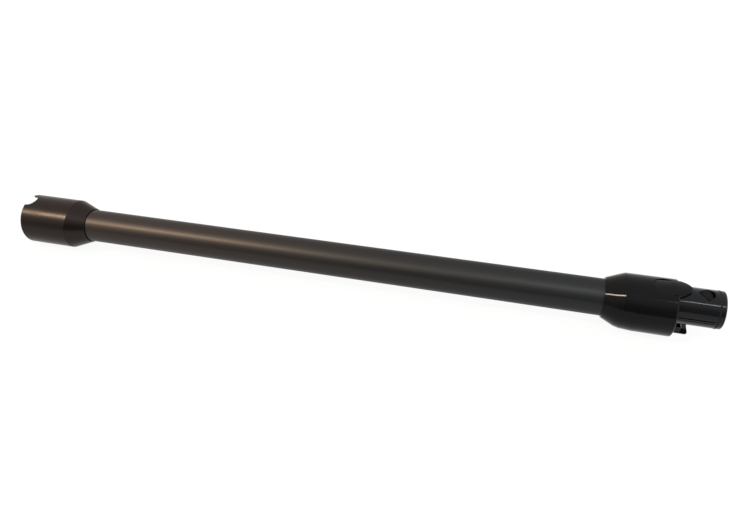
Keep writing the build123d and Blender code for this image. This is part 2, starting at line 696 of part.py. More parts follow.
def plug_body():
    """Electrical plug under the spigot, with a cavity for each clip."""
    body = centred_block(x_plug_back, x_plug_front, PLUG_WIDTH, plug_low, plug_high)
    front = body.edges().group_by(Axis.X)[-1]
    body = fillet(front.filter_by(Axis.Z) + front.filter_by(Axis.Y).group_by(Axis.Z)[-1], PLUG_ROUND)
    plate = centred_block(x_plug_back, x_plate_front, PLUG_PLATE_WIDTH, plate_low, plug_low)
    corners = plate.edges().group_by(Axis.X)[-1].filter_by(Axis.Z)
    body += fillet(corners, PLUG_ROUND)
    half_width = CLIP_WIDTH / 2 + FIT_GAP
    half_height = CLIP_HEIGHT / 2 + FIT_GAP
    for side in (-1, 1):
        y = side * CONTACT_SPREAD
        body -= block(x_plug_back, x_clip_front, y - half_width, y + half_width,
                      contact_z - half_height, contact_z + half_height)
        slot_width = BLADE_WIDTH / 2 + 2 * CLIP_GAP
        slot_height = BLADE_THICKNESS / 2 + 2 * CLIP_GAP
        body -= block(x_clip_front, x_plug_front, y - slot_width, y + slot_width,
                      contact_z - slot_height, contact_z + slot_height)
    return body


def plug_contacts():
    """Pair of brass clips inside the plug that take the blades of the next piece."""
    pieces = []
    for side in (-1, 1):
        y = side * CONTACT_SPREAD
        clip = block(x_plug_back, x_clip_front, y - CLIP_WIDTH / 2, y + CLIP_WIDTH / 2,
                     contact_z - CLIP_HEIGHT / 2, contact_z + CLIP_HEIGHT / 2)
        half_width = BLADE_WIDTH / 2 + CLIP_GAP
        half_height = BLADE_THICKNESS / 2 + CLIP_GAP
        x_slot_end = x_clip_front - BLADE_REACH
        clip -= block(x_slot_end, x_clip_front, y - half_width, y + half_width,
                      contact_z - half_height, contact_z + half_height)
        pieces.append(clip + barrel(x_plug_back - BARREL_LENGTH, x_plug_back, y, -1))
    return Compound(children=pieces)


def bend_radius(start, end):
    """Largest even radius for the two bends at the ends of a slanted run of wire."""
    run = Vector(*end) - Vector(*start)
    half_turn = radians(run.get_angle(Vector(1, 0, 0)) / 2)
    return WIRE_BEND_SHARE * run.length / tan(half_turn)


def wire(side):
    """Insulated wire from a blade in the cuff, along the tube's channel, to a clip in the plug."""
    y_contact = side * CONTACT_SPREAD
    y_tube = side * WIRE_SPREAD
    z_contact = AXIS_Z + contact_z
    z_tube = AXIS_Z + wire_z
    x_cuff_bend = x_cuff_plate - WIRE_LEAD
    x_shell_bend = x_shell_duct + WIRE_LEAD
    x_plug_bend = x_shell_bend + WIRE_SLANT_SHARE * (x_plug_back - BARREL_LENGTH - x_shell_bend)
    points = [
        (x_block_back + BARREL_WALL, y_contact, z_contact),
        (x_cuff_bend - WIRE_BEND_RUN, y_contact, z_contact),
        (x_cuff_bend, y_tube, z_tube),
        (x_shell_bend, y_tube, z_tube),
        (x_plug_bend, y_contact, z_contact),
        (x_plug_back - BARREL_WALL, y_contact, z_contact),
    ]
    cuff_radius = bend_radius(points[1], points[2])
    plug_radius = bend_radius(points[3], points[4])
    path = FilletPolyline(*points, radius=(cuff_radius, cuff_radius, plug_radius, plug_radius))
    section = Plane(origin=path @ 0, z_dir=path % 0) * Circle(wire_r)
    return sweep(section, path)


def wire_positive():
    """Wire on the far side of the channel."""
    return wire(1)


def wire_negative():
    """Wire on the near side of the channel."""
    return wire(-1)


def tube_screws(x):
    """Pair of pan-headed screws through the collar into the tube, one each side."""
    pieces = []
    for side in (-1, 1):
        seat = side * (collar_r - SCREW_SEAT)
        low, high = sorted((side * (tube_bore_r - SCREW_POINT), seat))
        shank = cross_bar(x, 0, SCREW_OD / 2, low, high)
        low, high = sorted((seat, seat + side * SCREW_HEAD))
        head = cross_bar(x, 0, SCREW_HEAD_OD / 2, low, high)
        outer_edge = head.edges().group_by(Axis.Y)[-1 if side > 0 else 0]
        pieces.append(shank + chamfer(outer_edge, SCREW_HEAD_SLOPE))
    return Compound(children=pieces)


NODES = {
    "main_tube": main_tube(),
    "cuff_shell": cuff_shell(),
    "socket_liner": socket_liner(),
    "cuff_gasket": gasket(x_cuff_gasket),
    "cuff_screws": tube_screws(x_cuff_screw),
    "socket_contact_block": socket_contact_block(),
    "socket_contacts": socket_contacts(),
    "connector_shell": connector_shell(),
    "spigot_duct": spigot_duct(),
    "shell_gasket": gasket(x_tube_end),
    "shell_screws": tube_screws(x_shell_screw),
    "spigot_seal": spigot_seal(),
    "release_button": release_button(),
    "latch_lever": latch_lever(),
    "latch_pin": latch_pin(),
    "latch_spring": latch_spring(),
    "plug_body": plug_body(),
    "plug_contacts": plug_contacts(),
    "wire_positive": wire_positive(),
    "wire_negative": wire_negative(),
}

os.makedirs("parts", exist_ok=True)
for name, node in NODES.items():
    export_step(node, f"parts/{name}.step")
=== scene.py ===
"""Dresses the vacuum cleaner tube: its finishes, its fine pieces, the studio and the camera."""
import logging
import math
from dataclasses import dataclass, field
from enum import Enum, IntEnum
from functools import cache

import bpy
from mathutils import Matrix, Vector


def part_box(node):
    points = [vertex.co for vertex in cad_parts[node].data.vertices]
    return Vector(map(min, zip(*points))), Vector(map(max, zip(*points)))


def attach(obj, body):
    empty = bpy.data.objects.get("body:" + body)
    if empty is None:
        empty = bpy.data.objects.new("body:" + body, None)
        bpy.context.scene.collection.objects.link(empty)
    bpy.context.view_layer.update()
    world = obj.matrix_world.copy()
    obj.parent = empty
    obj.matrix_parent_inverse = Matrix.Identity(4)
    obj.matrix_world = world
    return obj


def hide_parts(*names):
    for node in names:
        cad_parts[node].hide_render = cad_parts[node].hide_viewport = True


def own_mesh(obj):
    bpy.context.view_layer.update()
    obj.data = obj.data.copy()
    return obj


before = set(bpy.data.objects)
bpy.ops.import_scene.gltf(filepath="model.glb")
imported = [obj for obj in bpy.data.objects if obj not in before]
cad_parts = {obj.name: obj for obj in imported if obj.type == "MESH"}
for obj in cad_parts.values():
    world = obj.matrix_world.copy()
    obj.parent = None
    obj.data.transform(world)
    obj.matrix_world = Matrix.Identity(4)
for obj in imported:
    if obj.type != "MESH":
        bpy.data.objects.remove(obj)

log = logging.getLogger("vacuum_tube")

Colour = tuple[float, float, float]
Triple = tuple[float, float, float]
Reach = tuple[float, float]
Socket = bpy.types.NodeSocket
Number = float | Socket

MILLIMETRE = 0.001
PATTERN_REACH: Reach = (0.3, 0.7)
EDGE_SAMPLES = 6
SMOOTH_ANGLE = math.radians(35)


class Body(Enum):
    """Bodies that the added pieces ride on."""

    TUBE = "tube_body"


class Slot(Enum):
    """Finishes of the record, which no piece in this script is given."""

    STEEL = "bright_steel"


class MixSocket(IntEnum):
    """Places of the sockets on a mix of colours."""

    SHARE = 0
    RESULT = 2
    LOW = 6
    HIGH = 7


class Easing(Enum):
    """Ways that a ramp rises."""

    EVEN = "LINEAR"
    SOFT = "SMOOTHSTEP"


def fill(tree: bpy.types.NodeTree, socket: Socket, value: object) -> None:
    """Links a socket to its source, or sets it where the value is plain.

    Args:
        tree: Node tree of the socket.
        socket: Socket to link or to set.
        value: Source socket or plain value.
    """
    if isinstance(value, Socket):
        tree.links.new(value, socket)
    else:
        socket.default_value = value


def work_out(tree: bpy.types.NodeTree, operation: str, *values: Number) -> Socket:
    """Works out one number from others.

    Args:
        tree: Node tree to add to.
        operation: Name of the sum.
        values: Numbers or sockets, in the order that the sum takes them.

    Returns:
        The result's socket.
    """
    node = tree.nodes.new("ShaderNodeMath")
    node.operation = operation
    for socket, value in zip(node.inputs, values):
        fill(tree, socket, value)
    return node.outputs[0]


def ramp(tree: bpy.types.NodeTree, value: Socket, reach: Reach, result: Reach,
         easing: Easing = Easing.SOFT) -> Socket:
    """Maps a value from one range to another.

    Args:
        tree: Node tree to add to.
        value: Socket of the value.
        reach: Values where the ramp starts and ends.
        result: Results at those values.
        easing: How the ramp rises between them.

    Returns:
        The result's socket.
    """
    node = tree.nodes.new("ShaderNodeMapRange")
    node.interpolation_type = easing.value
    for name, number in zip(("From Min", "From Max", "To Min", "To Max"), (*reach, *result)):
        node.inputs[name].default_value = number
    tree.links.new(value, node.inputs["Value"])
    return node.outputs["Result"]


def mix_colours(tree: bpy.types.NodeTree, share: Socket, low: Colour | Socket,
                high: Colour | Socket) -> Socket:
    """Blends two colours.

    Args:
        tree: Node tree to add to.
        share: Socket of the second colour's share.
        low: Colour or colour socket at a share of 0.
        high: Colour or colour socket at a share of 1.

    Returns:
        The colour socket.
    """
    mix = tree.nodes.new("ShaderNodeMix")
    mix.data_type = "RGBA"
    tree.links.new(share, mix.inputs[MixSocket.SHARE])
    for place, colour in ((MixSocket.LOW, low), (MixSocket.HIGH, high)):
        fill(tree, mix.inputs[place], (*colour, 1.0) if isinstance(colour, tuple) else colour)
    return mix.outputs[MixSocket.RESULT]


class FinishTree:
    """Node tree of one finish, with the few kinds of node that all the finishes share."""

    def __init__(self, name: str) -> None:
        """Starts the tree with its shader joined to its output.

        Args:
            name: Name of the new material.
        """
        self.material = bpy.data.materials.new(name)
        self.material.use_nodes = True
        self.tree = self.material.node_tree
        self.tree.nodes.clear()
        output = self.add("ShaderNodeOutputMaterial")
        self.shader = self.add("ShaderNodeBsdfPrincipled")
        self.join(self.shader.outputs["BSDF"], output.inputs["Surface"])

    def add(self, kind: str) -> bpy.types.Node:
        """Adds one node of a kind."""
        return self.tree.nodes.new(kind)

    def join(self, source: Socket, target: Socket) -> None:
        """Links one socket to another."""
        self.tree.links.new(source, target)

    def set(self, **values: float | Colour) -> None:
        """Sets sockets of the shader that are the same all over the surface.

        Args:
            values: Socket names, with underscores for spaces, and their values.
        """
        for name, value in values.items():
            wanted = (*value, 1.0) if isinstance(value, tuple) else value
            self.shader.inputs[name.replace("_", " ")].default_value = wanted

    def place(self, scale: Triple) -> Socket:
        """Gives the surface's own place in metres, stretched for a pattern.

        Args:
            scale: Pattern repeats for each metre along X, Y and Z.

        Returns:
            The vector socket to give to a pattern.
        """
        coordinates = self.add("ShaderNodeTexCoord")
        mapping = self.add("ShaderNodeMapping")
        mapping.inputs["Scale"].default_value = scale
        self.join(coordinates.outputs["Object"], mapping.inputs["Vector"])
        return mapping.outputs["Vector"]

    def noise(self, scale: Triple, detail: float = 3.0) -> Socket:
        """Gives a soft random pattern.

        Args:
            scale: Pattern repeats for each metre along X, Y and Z.
            detail: How many finer patterns lie on the coarse one.

        Returns:
            A value socket that stays around one half.
        """
        noise = self.add("ShaderNodeTexNoise")
        noise.inputs["Scale"].default_value = 1.0
        noise.inputs["Detail"].default_value = detail
        self.join(self.place(scale), noise.inputs["Vector"])
        return noise.outputs["Fac"]

    def spread(self, value: Socket, low: float, high: float) -> Socket:
        """Maps a random pattern to a range.

        Args:
            value: Pattern that stays around one half.
            low: Value where the pattern is low.
            high: Value where the pattern is high.

        Returns:
            The mapped value socket.
        """
        return ramp(self.tree, value, PATTERN_REACH, (low, high), Easing.EVEN)

    def mix(self, share: Socket, low: Colour | Socket, high: Colour | Socket) -> Socket:
        """Blends two colours or colour sockets by a pattern from 0 to 1."""
        return mix_colours(self.tree, share, low, high)

    def paint(self, colour: Socket, roughness: Socket) -> None:
        """Joins the patterns of colour and of roughness to the shader."""
        self.join(colour, self.shader.inputs["Base Color"])
        self.join(roughness, self.shader.inputs["Roughness"])

    def relief(self, height: Socket, strength: float, depth: float, edge: float) -> None:
        """Roughens the surface by a pattern and rounds the look of its sharp edges.

        Args:
            height: Pattern of the surface's height.
            strength: Share of the pattern that shows.
            depth: Height of the pattern in metres.
            edge: Radius of the rounded edges in metres.
        """
        rounding = self.add("ShaderNodeBevel")
        rounding.samples = EDGE_SAMPLES
        rounding.inputs["Radius"].default_value = edge
        bump = self.add("ShaderNodeBump")
        bump.inputs["Strength"].default_value = strength
        bump.inputs["Distance"].default_value = depth
        self.join(height, bump.inputs["Height"])
        self.join(rounding.outputs["Normal"], bump.inputs["Normal"])
        self.join(bump.outputs["Normal"], self.shader.inputs["Normal"])


@dataclass(frozen=True)
class DrawnMetal:
    """Bright metal with the fine lengthwise grain of a drawn or rolled piece."""

    name: str
    dark: Colour
    pale: Colour
    smooth: float
    rough: float
    rim: Colour
    grain: Triple = (300.0, 2500.0, 2500.0)
    grain_strength: float = 0.12
    grain_depth: float = 0.04 * MILLIMETRE
    cloud: Triple = (14.0, 30.0, 30.0)
    edge: float = 0.15 * MILLIMETRE

    def make(self) -> bpy.types.Material:
        """Makes the finish."""
        tree = FinishTree(self.name)
        tree.set(Metallic=1.0, Specular_Tint=self.rim)
        grain = tree.noise(self.grain)
        tree.paint(tree.mix(tree.noise(self.cloud), self.dark, self.pale),
                   tree.spread(grain, self.smooth, self.rough))
        tree.relief(grain, self.grain_strength, self.grain_depth, self.edge)
        return tree.material


@dataclass(frozen=True)
class AnodisedTube:
    """Dark anodised drawn tube with painted warm light: browner and lighter at the cuff, greyer at
    the spigot.
    """

    name: str
    # Both end colours are painted light: warm light on the cuff end, cooler light on the spigot
    # end.
    cuff_end_warm_lit: Colour
    spigot_end_cool_lit: Colour
    smooth: float
    rough: float
    # Reach along X of the painted light's drift, from the cuff end to the spigot end.
    reach: Reach = (-0.31, 0.26)
    grain: Triple = (5.0, 1500.0, 1500.0)
    grain_strength: float = 0.10
    grain_depth: float = 0.04 * MILLIMETRE
    streak: float = 0.90
    rim: Colour = (0.86, 0.86, 0.86)
    edge: float = 0.15 * MILLIMETRE

    def make(self) -> bpy.types.Material:
        """Makes the finish."""
        tree = FinishTree(self.name)
        tree.set(Metallic=1.0, Specular_Tint=self.rim)
        grain = tree.noise(self.grain)
        parts = tree.add("ShaderNodeSeparateXYZ")
        tree.join(tree.place((1.0, 1.0, 1.0)), parts.inputs[0])
        # Painted light: the colour drifts from the warm-lit cuff end to the greyer spigot end.
        painted_light_drift = ramp(tree.tree, parts.outputs["X"], self.reach, (0.0, 1.0))
        ends = (self.cuff_end_warm_lit, self.spigot_end_cool_lit)
        darker = [tuple(self.streak * part for part in end) for end in ends]
        streaks = tree.mix(tree.spread(grain, 0.0, 1.0), tree.mix(painted_light_drift, *darker),
                           tree.mix(painted_light_drift, *ends))
        tree.paint(streaks, tree.spread(grain, self.smooth, self.rough))
        tree.relief(grain, self.grain_strength, self.grain_depth, self.edge)
        return tree.material


@dataclass(frozen=True)
class Moulding:
    """Moulded plastic or rubber, from a polished tool or from a matt one."""

    name: str
    dark: Colour
    pale: Colour
    smooth: float
    rough: float
    gloss: float = 0.4
    grain: float = 900.0
    grain_detail: float = 2.0
    grain_strength: float = 0.05
    grain_depth: float = 0.03 * MILLIMETRE
    cloud: Triple = (60.0, 60.0, 60.0)
    cloud_detail: float = 5.0
    edge: float = 0.2 * MILLIMETRE

    def make(self) -> bpy.types.Material:
        """Makes the finish."""
        tree = FinishTree(self.name)
        tree.set(Specular_IOR_Level=self.gloss)
        grain = tree.noise((self.grain, self.grain, self.grain), self.grain_detail)
        cloud = tree.noise(self.cloud, self.cloud_detail)
        tree.paint(tree.mix(cloud, self.dark, self.pale),
                   tree.spread(cloud, self.smooth, self.rough))
        tree.relief(grain, self.grain_strength, self.grain_depth, self.edge)
        return tree.material


@dataclass(frozen=True)
class FlakeLacquer:
    """Dark metallic lacquer with fine flakes under a satin surface."""

    name: str
    dark: Colour
    pale: Colour
    smooth: float
    rough: float
    rim: Colour = (0.82, 0.80, 0.80)
    flakes: Triple = (5200.0, 5200.0, 5200.0)
    flake_strength: float = 0.06
    flake_depth: float = 0.02 * MILLIMETRE
    cloud: Triple = (40.0, 40.0, 40.0)
    cloud_detail: float = 4.0
    edge: float = 0.25 * MILLIMETRE

    def make(self) -> bpy.types.Material:
        """Makes the finish."""
        tree = FinishTree(self.name)
        tree.set(Metallic=1.0, Specular_Tint=self.rim)
        flakes = tree.add("ShaderNodeTexVoronoi")
        flakes.inputs["Scale"].default_value = 1.0
        tree.join(tree.place(self.flakes), flakes.inputs["Vector"])
        cloud = tree.noise(self.cloud, self.cloud_detail)
        pattern = flakes.outputs["Distance"]
        tree.paint(tree.mix(pattern, self.dark, self.pale),
                   tree.spread(cloud, self.smooth, self.rough))
        tree.relief(pattern, self.flake_strength, self.flake_depth, self.edge)
        return tree.material


Finish = DrawnMetal | AnodisedTube | Moulding | FlakeLacquer

# The tube's end colours are painted light: warm and lighter at the cuff, greyer at the spigot.
TUBE_FINISH = AnodisedTube(
    "tube_anodised", (0.056, 0.0455, 0.0413), (0.0333, 0.0340, 0.0343), smooth=0.38, rough=0.47)
CUFF_FINISH = FlakeLacquer(
    "cuff_satin", (0.0245, 0.0196, 0.0182), (0.0350, 0.0280, 0.0257), smooth=0.27, rough=0.32)
SHELL_FINISH = Moulding(
    "shell_gloss", (0.0020, 0.0019, 0.0021), (0.0030, 0.0028, 0.0031), smooth=0.05, rough=0.09,
    gloss=0.12, grain=180.0, grain_strength=0.012, edge=0.3 * MILLIMETRE)
SPIGOT_FINISH = Moulding(
    "spigot_gloss", (0.0030, 0.0032, 0.0038), (0.0042, 0.0044, 0.0050), smooth=0.08, rough=0.13,
    gloss=0.20, grain=260.0, grain_strength=0.02, edge=0.3 * MILLIMETRE)
BUTTON_FINISH = Moulding(
    "button_half_gloss", (0.0026, 0.0025, 0.0026), (0.0036, 0.0035, 0.0036), smooth=0.10,
    rough=0.16, gloss=0.12, grain=1500.0, grain_strength=0.03, edge=0.25 * MILLIMETRE)
LATCH_FINISH = Moulding(
    "latch_black", (0.0012, 0.0012, 0.0013), (0.0020, 0.0020, 0.0021), smooth=0.26, rough=0.36,
    gloss=0.05)
INNER_FINISH = Moulding(
    "inner_matt", (0.012, 0.012, 0.012), (0.018, 0.018, 0.018), smooth=0.45, rough=0.58,
    grain=2200.0, grain_strength=0.2)
SEAL_FINISH = Moulding(
    "seal_rubber", (0.003, 0.003, 0.003), (0.006, 0.006, 0.006), smooth=0.62, rough=0.75,
    gloss=0.2, grain=1800.0, grain_strength=0.25)
STEEL_FINISH = DrawnMetal(
    "steel_bright", (0.52, 0.52, 0.52), (0.62, 0.62, 0.62), smooth=0.22, rough=0.34,
    rim=(1.0, 1.0, 1.0))
BRASS_FINISH = DrawnMetal(
    "brass_stamped", (0.62, 0.44, 0.16), (0.74, 0.56, 0.24), smooth=0.22, rough=0.36,
    rim=(1.0, 0.95, 0.8))
RED_WIRE_FINISH = Moulding(
    "wire_red_insulation", (0.32, 0.016, 0.012), (0.40, 0.022, 0.016), smooth=0.38, rough=0.48)
BLACK_WIRE_FINISH = Moulding(
    "wire_black_insulation", (0.010, 0.010, 0.010), (0.016, 0.016, 0.016), smooth=0.38, rough=0.48)


@cache
def material_of(finish: Finish) -> bpy.types.Material:
    """Gives the one material of a finish, made at its first use.

    Args:
        finish: Finish to make or to look up.

    Returns:
        The material.
    """
    return finish.make()


def dress(nodes: dict[str, Finish]) -> None:
    """Gives solids their finishes.

    Args:
        nodes: Names of the solids, each with its finish.
    """
    for name, finish in nodes.items():
        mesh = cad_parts[name].data
        mesh.materials.clear()
        mesh.materials.append(material_of(finish))
        log.info("dressed %s in %s", name, finish.name)


class ShapeTree:
    """Geometry Nodes tree of one piece, with named inputs for its sizes."""

    def __init__(self, name: str) -> None:
        """Starts an empty tree.

        Args:
            name: Name of the tree.
        """
        self.tree = bpy.data.node_groups.new(name, "GeometryNodeTree")
        self.tree.interface.new_socket(
            "Geometry", in_out="OUTPUT", socket_type="NodeSocketGeometry")
        self.inlet = self.tree.nodes.new("NodeGroupInput")
        self.values: dict[str, float | Triple] = {}

    def size(self, label: str, value: float) -> Socket:
        """Adds a named length, share or number of turns and gives its socket."""
        return self.take(label, "NodeSocketFloat", value)

    def point(self, label: str, value: Triple) -> Socket:
        """Adds a named place and gives its socket."""
        return self.take(label, "NodeSocketVector", value)

    def take(self, label: str, kind: str, value: float | Triple) -> Socket:
        """Adds a named input.

        Args:
            label: Name of the input.
            kind: Kind of socket.
            value: Value that the piece is made with.

        Returns:
            The socket inside the tree.
        """
        socket = self.tree.interface.new_socket(label, in_out="INPUT", socket_type=kind)
        self.values[socket.identifier] = value
        return self.inlet.outputs[label]

    def add(self, kind: str, inputs: dict[str | int, object],
            **settings: str | int) -> bpy.types.Node:
        """Adds a node, with its settings and its inputs.

        Args:
            kind: Kind of node.
            inputs: Sockets by name or number, each with a value, a socket to link or a list.
            settings: Choices on the node itself.

        Returns:
            The node.
        """
        node = self.tree.nodes.new(kind)
        for name, choice in settings.items():
            setattr(node, name, choice)
        for name, value in inputs.items():
            for one in value if isinstance(value, list) else [value]:
                fill(self.tree, node.inputs[name], one)
        return node

    def shape(self, kind: str, inputs: dict[str | int, object], **settings: str | int) -> Socket:
        """Adds a node as add does and gives its first output."""
        return self.add(kind, inputs, **settings).outputs[0]

    def sum(self, operation: str, *values: Number) -> Socket:
        """Works out one number from others and gives its socket."""
        return work_out(self.tree, operation, *values)

    def triple(self, x: Number, y: Number, z: Number) -> Socket:
        """Joins three values or sockets into a vector socket."""
        return self.shape("ShaderNodeCombineXYZ", {0: x, 1: y, 2: z})

    def shift(self, shape: Socket, by: Socket) -> Socket:
        """Moves a shape by a vector socket."""
        return self.shape("GeometryNodeTransform", {"Geometry": shape, "Translation": by})

    def lift(self, shape: Socket, height: Number) -> Socket:
        """Moves a shape up by a height."""
        return self.shift(shape, self.triple(0.0, 0.0, height))

    def make(self, shape: Socket, name: str, finish: Finish) -> bpy.types.Object:
        """Runs the tree and keeps its result as a plain mesh.

        Args:
            shape: Geometry socket of the whole piece.
            name: Name of the piece.
            finish: Finish of the piece.

        Returns:
            The piece, at the origin with its place in its mesh.
        """
        whole = self.shape("GeometryNodeRealizeInstances", {"Geometry": shape})
        inputs = {"Geometry": whole, "Material": material_of(finish)}
        dressed = self.shape("GeometryNodeSetMaterial", inputs)
        self.add("NodeGroupOutput", {"Geometry": dressed})
        maker = bpy.data.objects.new(f"{name}_maker", bpy.data.meshes.new(f"{name}_maker"))
        bpy.context.scene.collection.objects.link(maker)
        modifier = maker.modifiers.new("shape", "NODES")
        modifier.node_group = self.tree
        for identifier, value in self.values.items():
            modifier[identifier] = value
        graph = bpy.context.evaluated_depsgraph_get()
        mesh = bpy.data.meshes.new_from_object(maker.evaluated_get(graph))
        maker.modifiers.remove(modifier)
        bpy.data.objects.remove(maker)
        mesh.name = name
        mesh.shade_smooth()
        mesh.set_sharp_from_angle(angle=SMOOTH_ANGLE)
        piece = bpy.data.objects.new(name, mesh)
        bpy.context.scene.collection.objects.link(piece)
        log.info("made %s with %d faces", name, len(mesh.polygons))
        return piece


@dataclass
class PanScrews:
    """Pair of pan-headed screws, one each side of the tube, in millimetres.

    They have threads and cross recesses, and are made in millimetres because the cutting of the
    heads fails on shapes as small as theirs are in metres.
    """

    head_height: float = 1.5
    shank_radius: float = 1.2
    shank_length: float = 3.4
    thread_pitch: float = 0.8
    thread_depth: float = 0.22
    thread_sides: int = 4
    point_length: float = 0.7
    point_share: float = 0.96
    point_overlap: float = 0.1
    dome_share: float = 1.35
    dome_rings: int = 16
    recess_length: float = 2.6
    recess_width: float = 0.6
    recess_depth: float = 0.9
    weld: float = 0.002
    sides: int = 32

    def build(self, node: str) -> bpy.types.Object:
        """Makes the pair in the place of its plain solids.

        Args:
            node: Name of the solids that the pair stands for.

        Returns:
            The piece.
        """
        low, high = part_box(node)
        middle = (low + high) / 2
        tree = ShapeTree(f"{node}_shape")
        head_radius = tree.size("Head radius", (high.x - low.x) / 2 / MILLIMETRE)
        seat = high.y - self.head_height * MILLIMETRE
        near = tree.point("Near seat", (middle.x, -seat, middle.z))
        far = tree.point("Far seat", (middle.x, seat, middle.z))
        parts = [self.head(tree, head_radius), *self.shank(tree)]
        screw = tree.shape("GeometryNodeJoinGeometry", {0: parts})
        inputs = {"Count": 2, "Start Location": near, "Offset": far}
        line = tree.shape("GeometryNodeMeshLine", inputs, mode="END_POINTS")
        # The near head faces -Y, a quarter turn one way, and the far head +Y, the other way.
        index = tree.shape("GeometryNodeInputIndex", {})
        turn = tree.sum("MULTIPLY_ADD", index, -math.pi, math.pi / 2)
        facing = tree.shape("FunctionNodeEulerToRotation", {0: tree.triple(turn, 0.0, 0.0)})
        inputs = {"Points": line, "Instance": screw, "Rotation": facing,
                  "Scale": (MILLIMETRE, MILLIMETRE, MILLIMETRE)}
        pair = tree.shape("GeometryNodeInstanceOnPoints", inputs)
        piece = tree.make(pair, f"threaded_{node}", STEEL_FINISH)
        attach(piece, Body.TUBE.value)
        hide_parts(node)
        return piece

    def head(self, tree: ShapeTree, radius: Socket) -> Socket:
        """Makes a head that stands on the seat, with its crown and its recess.

        Args:
            tree: Tree to add to.
            radius: Socket of the head's radius.

        Returns:
            The head's geometry socket.
        """
        height = tree.size("Head height", self.head_height)
        half = tree.sum("MULTIPLY", height, 0.5)
        inputs = {"Vertices": self.sides, "Radius": radius, "Depth": height}
        disc = tree.lift(tree.shape("GeometryNodeMeshCylinder", inputs), half)
        inputs = {"Segments": self.sides, "Rings": self.dome_rings, "Radius": 1.0}
        ball = tree.shape("GeometryNodeMeshUVSphere", inputs)
        wide = tree.sum("MULTIPLY", radius, self.dome_share)
        inputs = {"Geometry": ball, "Scale": tree.triple(wide, wide, height)}
        crown = tree.shape("GeometryNodeTransform", inputs)
        domed = tree.shape("GeometryNodeMeshBoolean", {"Mesh 2": [disc, crown]},
                           operation="INTERSECT", solver="EXACT")
        depth = tree.size("Recess depth", self.recess_depth)
        floor = tree.sum("SUBTRACT", height, tree.sum("MULTIPLY", depth, 0.5))
        length = tree.size("Recess length", self.recess_length)
        width = tree.size("Recess width", self.recess_width)
        bars = []
        for across, along in ((length, width), (width, length)):
            bar = tree.shape("GeometryNodeMeshCube", {"Size": tree.triple(across, along, depth)})
            bars.append(tree.lift(bar, floor))
        cut = tree.shape("GeometryNodeMeshBoolean", {"Mesh 1": domed, "Mesh 2": bars},
                         operation="DIFFERENCE", solver="EXACT")
        return tree.shape("GeometryNodeMergeByDistance", {"Geometry": cut, "Distance": self.weld})

    def shank(self, tree: ShapeTree) -> list[Socket]:
        """Makes the shank below the seat: a core, a point and a thread round them.

        Args:
            tree: Tree to add to.

        Returns:
            The geometry sockets of the three.
        """
        radius = tree.size("Shank radius", self.shank_radius)
        depth = tree.size("Thread depth", self.thread_depth)
        core = tree.sum("SUBTRACT", radius, depth)
        straight = tree.size("Straight length", self.shank_length - self.point_length)
        tip = tree.size("Point length", self.point_length)
        inputs = {"Vertices": self.sides, "Radius": core, "Depth": straight}
        rod = tree.lift(tree.shape("GeometryNodeMeshCylinder", inputs),
                        tree.sum("MULTIPLY", straight, -0.5))
        inputs = {"Vertices": self.sides, "Radius Bottom": 0.0,
                  "Radius Top": tree.sum("MULTIPLY", core, self.point_share),
                  "Depth": tree.sum("ADD", tip, self.point_overlap)}
        point = tree.lift(tree.shape("GeometryNodeMeshCone", inputs),
                          tree.sum("MULTIPLY", tree.sum("ADD", straight, tip), -1.0))
        turns = tree.sum("DIVIDE", straight, tree.size("Thread pitch", self.thread_pitch))
        inputs = {"Resolution": self.sides, "Rotations": turns, "Start Radius": core,
                  "End Radius": core, "Height": straight}
        path = tree.shape("GeometryNodeCurveSpiral", inputs)
        inputs = {"Resolution": self.thread_sides, "Radius": depth}
        ridge = tree.shape("GeometryNodeCurvePrimitiveCircle", inputs)
        inputs = {"Curve": path, "Profile Curve": ridge, "Fill Caps": True}
        thread = tree.lift(tree.shape("GeometryNodeCurveToMesh", inputs),
                           tree.sum("MULTIPLY", straight, -1.0))
        return [rod, point, thread]


@dataclass
class TubeRun:
    """Anodised tube with the two wires in its channel."""

    finishes: dict[str, Finish] = field(default_factory=lambda: {
        "main_tube": TUBE_FINISH,
        "wire_positive": RED_WIRE_FINISH,
        "wire_negative": BLACK_WIRE_FINISH,
    })

    def build(self) -> None:
        """Dresses the tube and its wires."""
        dress(self.finishes)


@dataclass
class SocketCuff:
    """Cuff that takes the next piece: sleeve, liner, gasket, screws and contacts."""

    screws: PanScrews = field(default_factory=PanScrews)
    finishes: dict[str, Finish] = field(default_factory=lambda: {
        "cuff_shell": CUFF_FINISH,
        "socket_liner": INNER_FINISH,
        "cuff_gasket": SEAL_FINISH,
        "cuff_screws": STEEL_FINISH,
        "socket_contact_block": INNER_FINISH,
        "socket_contacts": BRASS_FINISH,
    })

    def build(self) -> None:
        """Dresses the cuff and makes its screws."""
        dress(self.finishes)
        self.screws.build("cuff_screws")


@dataclass
class SpigotEnd:
    """Connector shell with the spigot, its seal, its screws and the plug."""

    screws: PanScrews = field(default_factory=PanScrews)
    finishes: dict[str, Finish] = field(default_factory=lambda: {
        "connector_shell": SHELL_FINISH,
        "spigot_duct": SPIGOT_FINISH,
        "shell_gasket": SEAL_FINISH,
        "shell_screws": STEEL_FINISH,
        "spigot_seal": SEAL_FINISH,
        "plug_body": SPIGOT_FINISH,
        "plug_contacts": BRASS_FINISH,
    })

    def build(self) -> None:
        """Dresses the spigot end and makes its screws."""
        dress(self.finishes)
        self.screws.build("shell_screws")


